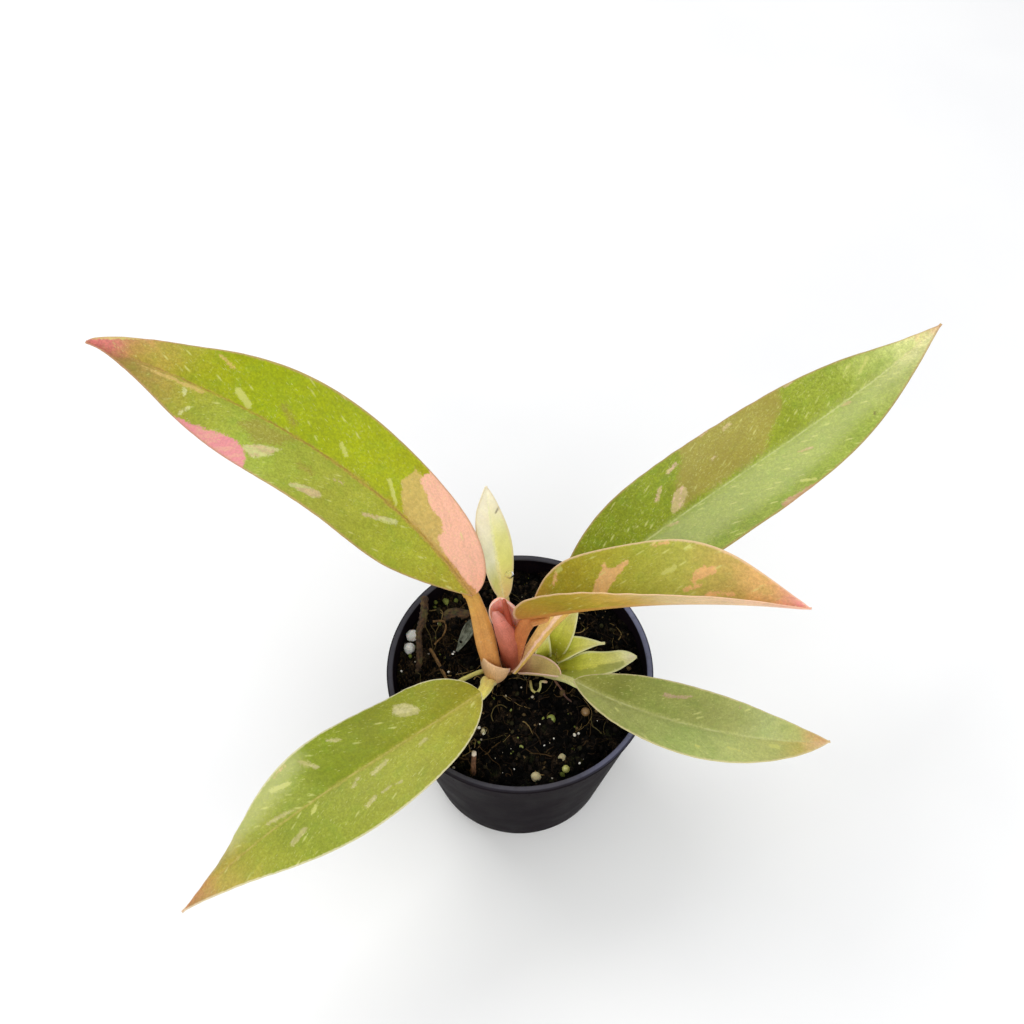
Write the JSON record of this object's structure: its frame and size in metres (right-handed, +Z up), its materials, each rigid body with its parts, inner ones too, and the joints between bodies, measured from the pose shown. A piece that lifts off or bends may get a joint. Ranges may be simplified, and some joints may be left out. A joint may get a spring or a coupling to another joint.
{
  "type": "potted ring of fire philodendron",
  "caption": "Young variegated aroid house plant with long pointed leaves on short stalks, a pale offset beside its crown, in a round black nursery pot of peat.",
  "frame": {"origin": "centre of the pot's flat underside", "axes": "+Z up; +X along the plant's longest spread, from the upper left leaf to the upper right one; -Y towards the side from which the crown, the two lower leaves and the offset all show"},
  "size_m": [0.1865, 0.1155, 0.1015],
  "materials": {
    "pot_plastic": "thin black nursery-pot plastic with a slight purple cast, satin",
    "peat": "damp dark peat with brown fibres and mossy crumbs, matte",
    "stem": "pale yellow-green plant stem, soft satin",
    "green_leaf": "yellow-green leaf with cream and pink variegation, satin with a waxy sheen",
    "olive_leaf": "young olive and orange leaf with a pink edge, satin",
    "pale_leaf": "cream and light green leaf, thin and slightly translucent",
    "lime_leaf": "pale lime leaf with cream edges, satin",
    "pink_sheath": "dusty pink to dark red leaf sheath, satin",
    "root": "pale green to pinkish-brown aerial root, dull",
    "bark": "dry brown plant matter, dull and fibrous",
    "perlite": "white porous grain, matte",
    "prill": "coated fertiliser bead, satin",
    "water_drop": "clear water"
  },
  "bodies": {
    "root": {"pot": "pot_plastic", "soil": "peat", "stem": "stem", "spear_front": "pink_sheath", "spear_back": "pink_sheath", "spear_inner": "pink_sheath", "leaf_upper_left": "green_leaf", "leaf_folded_right": "olive_leaf", "leaf_upper_right": "green_leaf", "leaf_pale_upright": "pale_leaf", "leaf_lower_left": "green_leaf", "leaf_lower_right": "green_leaf", "offset_stem": "lime_leaf", "offset_leaf_upright": "lime_leaf", "offset_leaf_small": "lime_leaf", "offset_leaf_pointed": "lime_leaf", "offset_leaf_wavy": "lime_leaf", "old_stalk": "stem", "root_hook": "root", "root_pink": "root", "old_stem": "bark", "cut_twig": "bark", "strand_long": "bark", "strand_loop": "bark", "scrap_leaf": "bark", "scrap_bark": "bark", "perlite_left": "perlite", "perlite_left_low": "perlite", "perlite_front": "perlite", "perlite_tall": "perlite", "perlite_pair": "perlite", "prill_green": "prill", "prill_tan": "prill", "prill_yellow": "prill"}
  },
  "joints": []
}
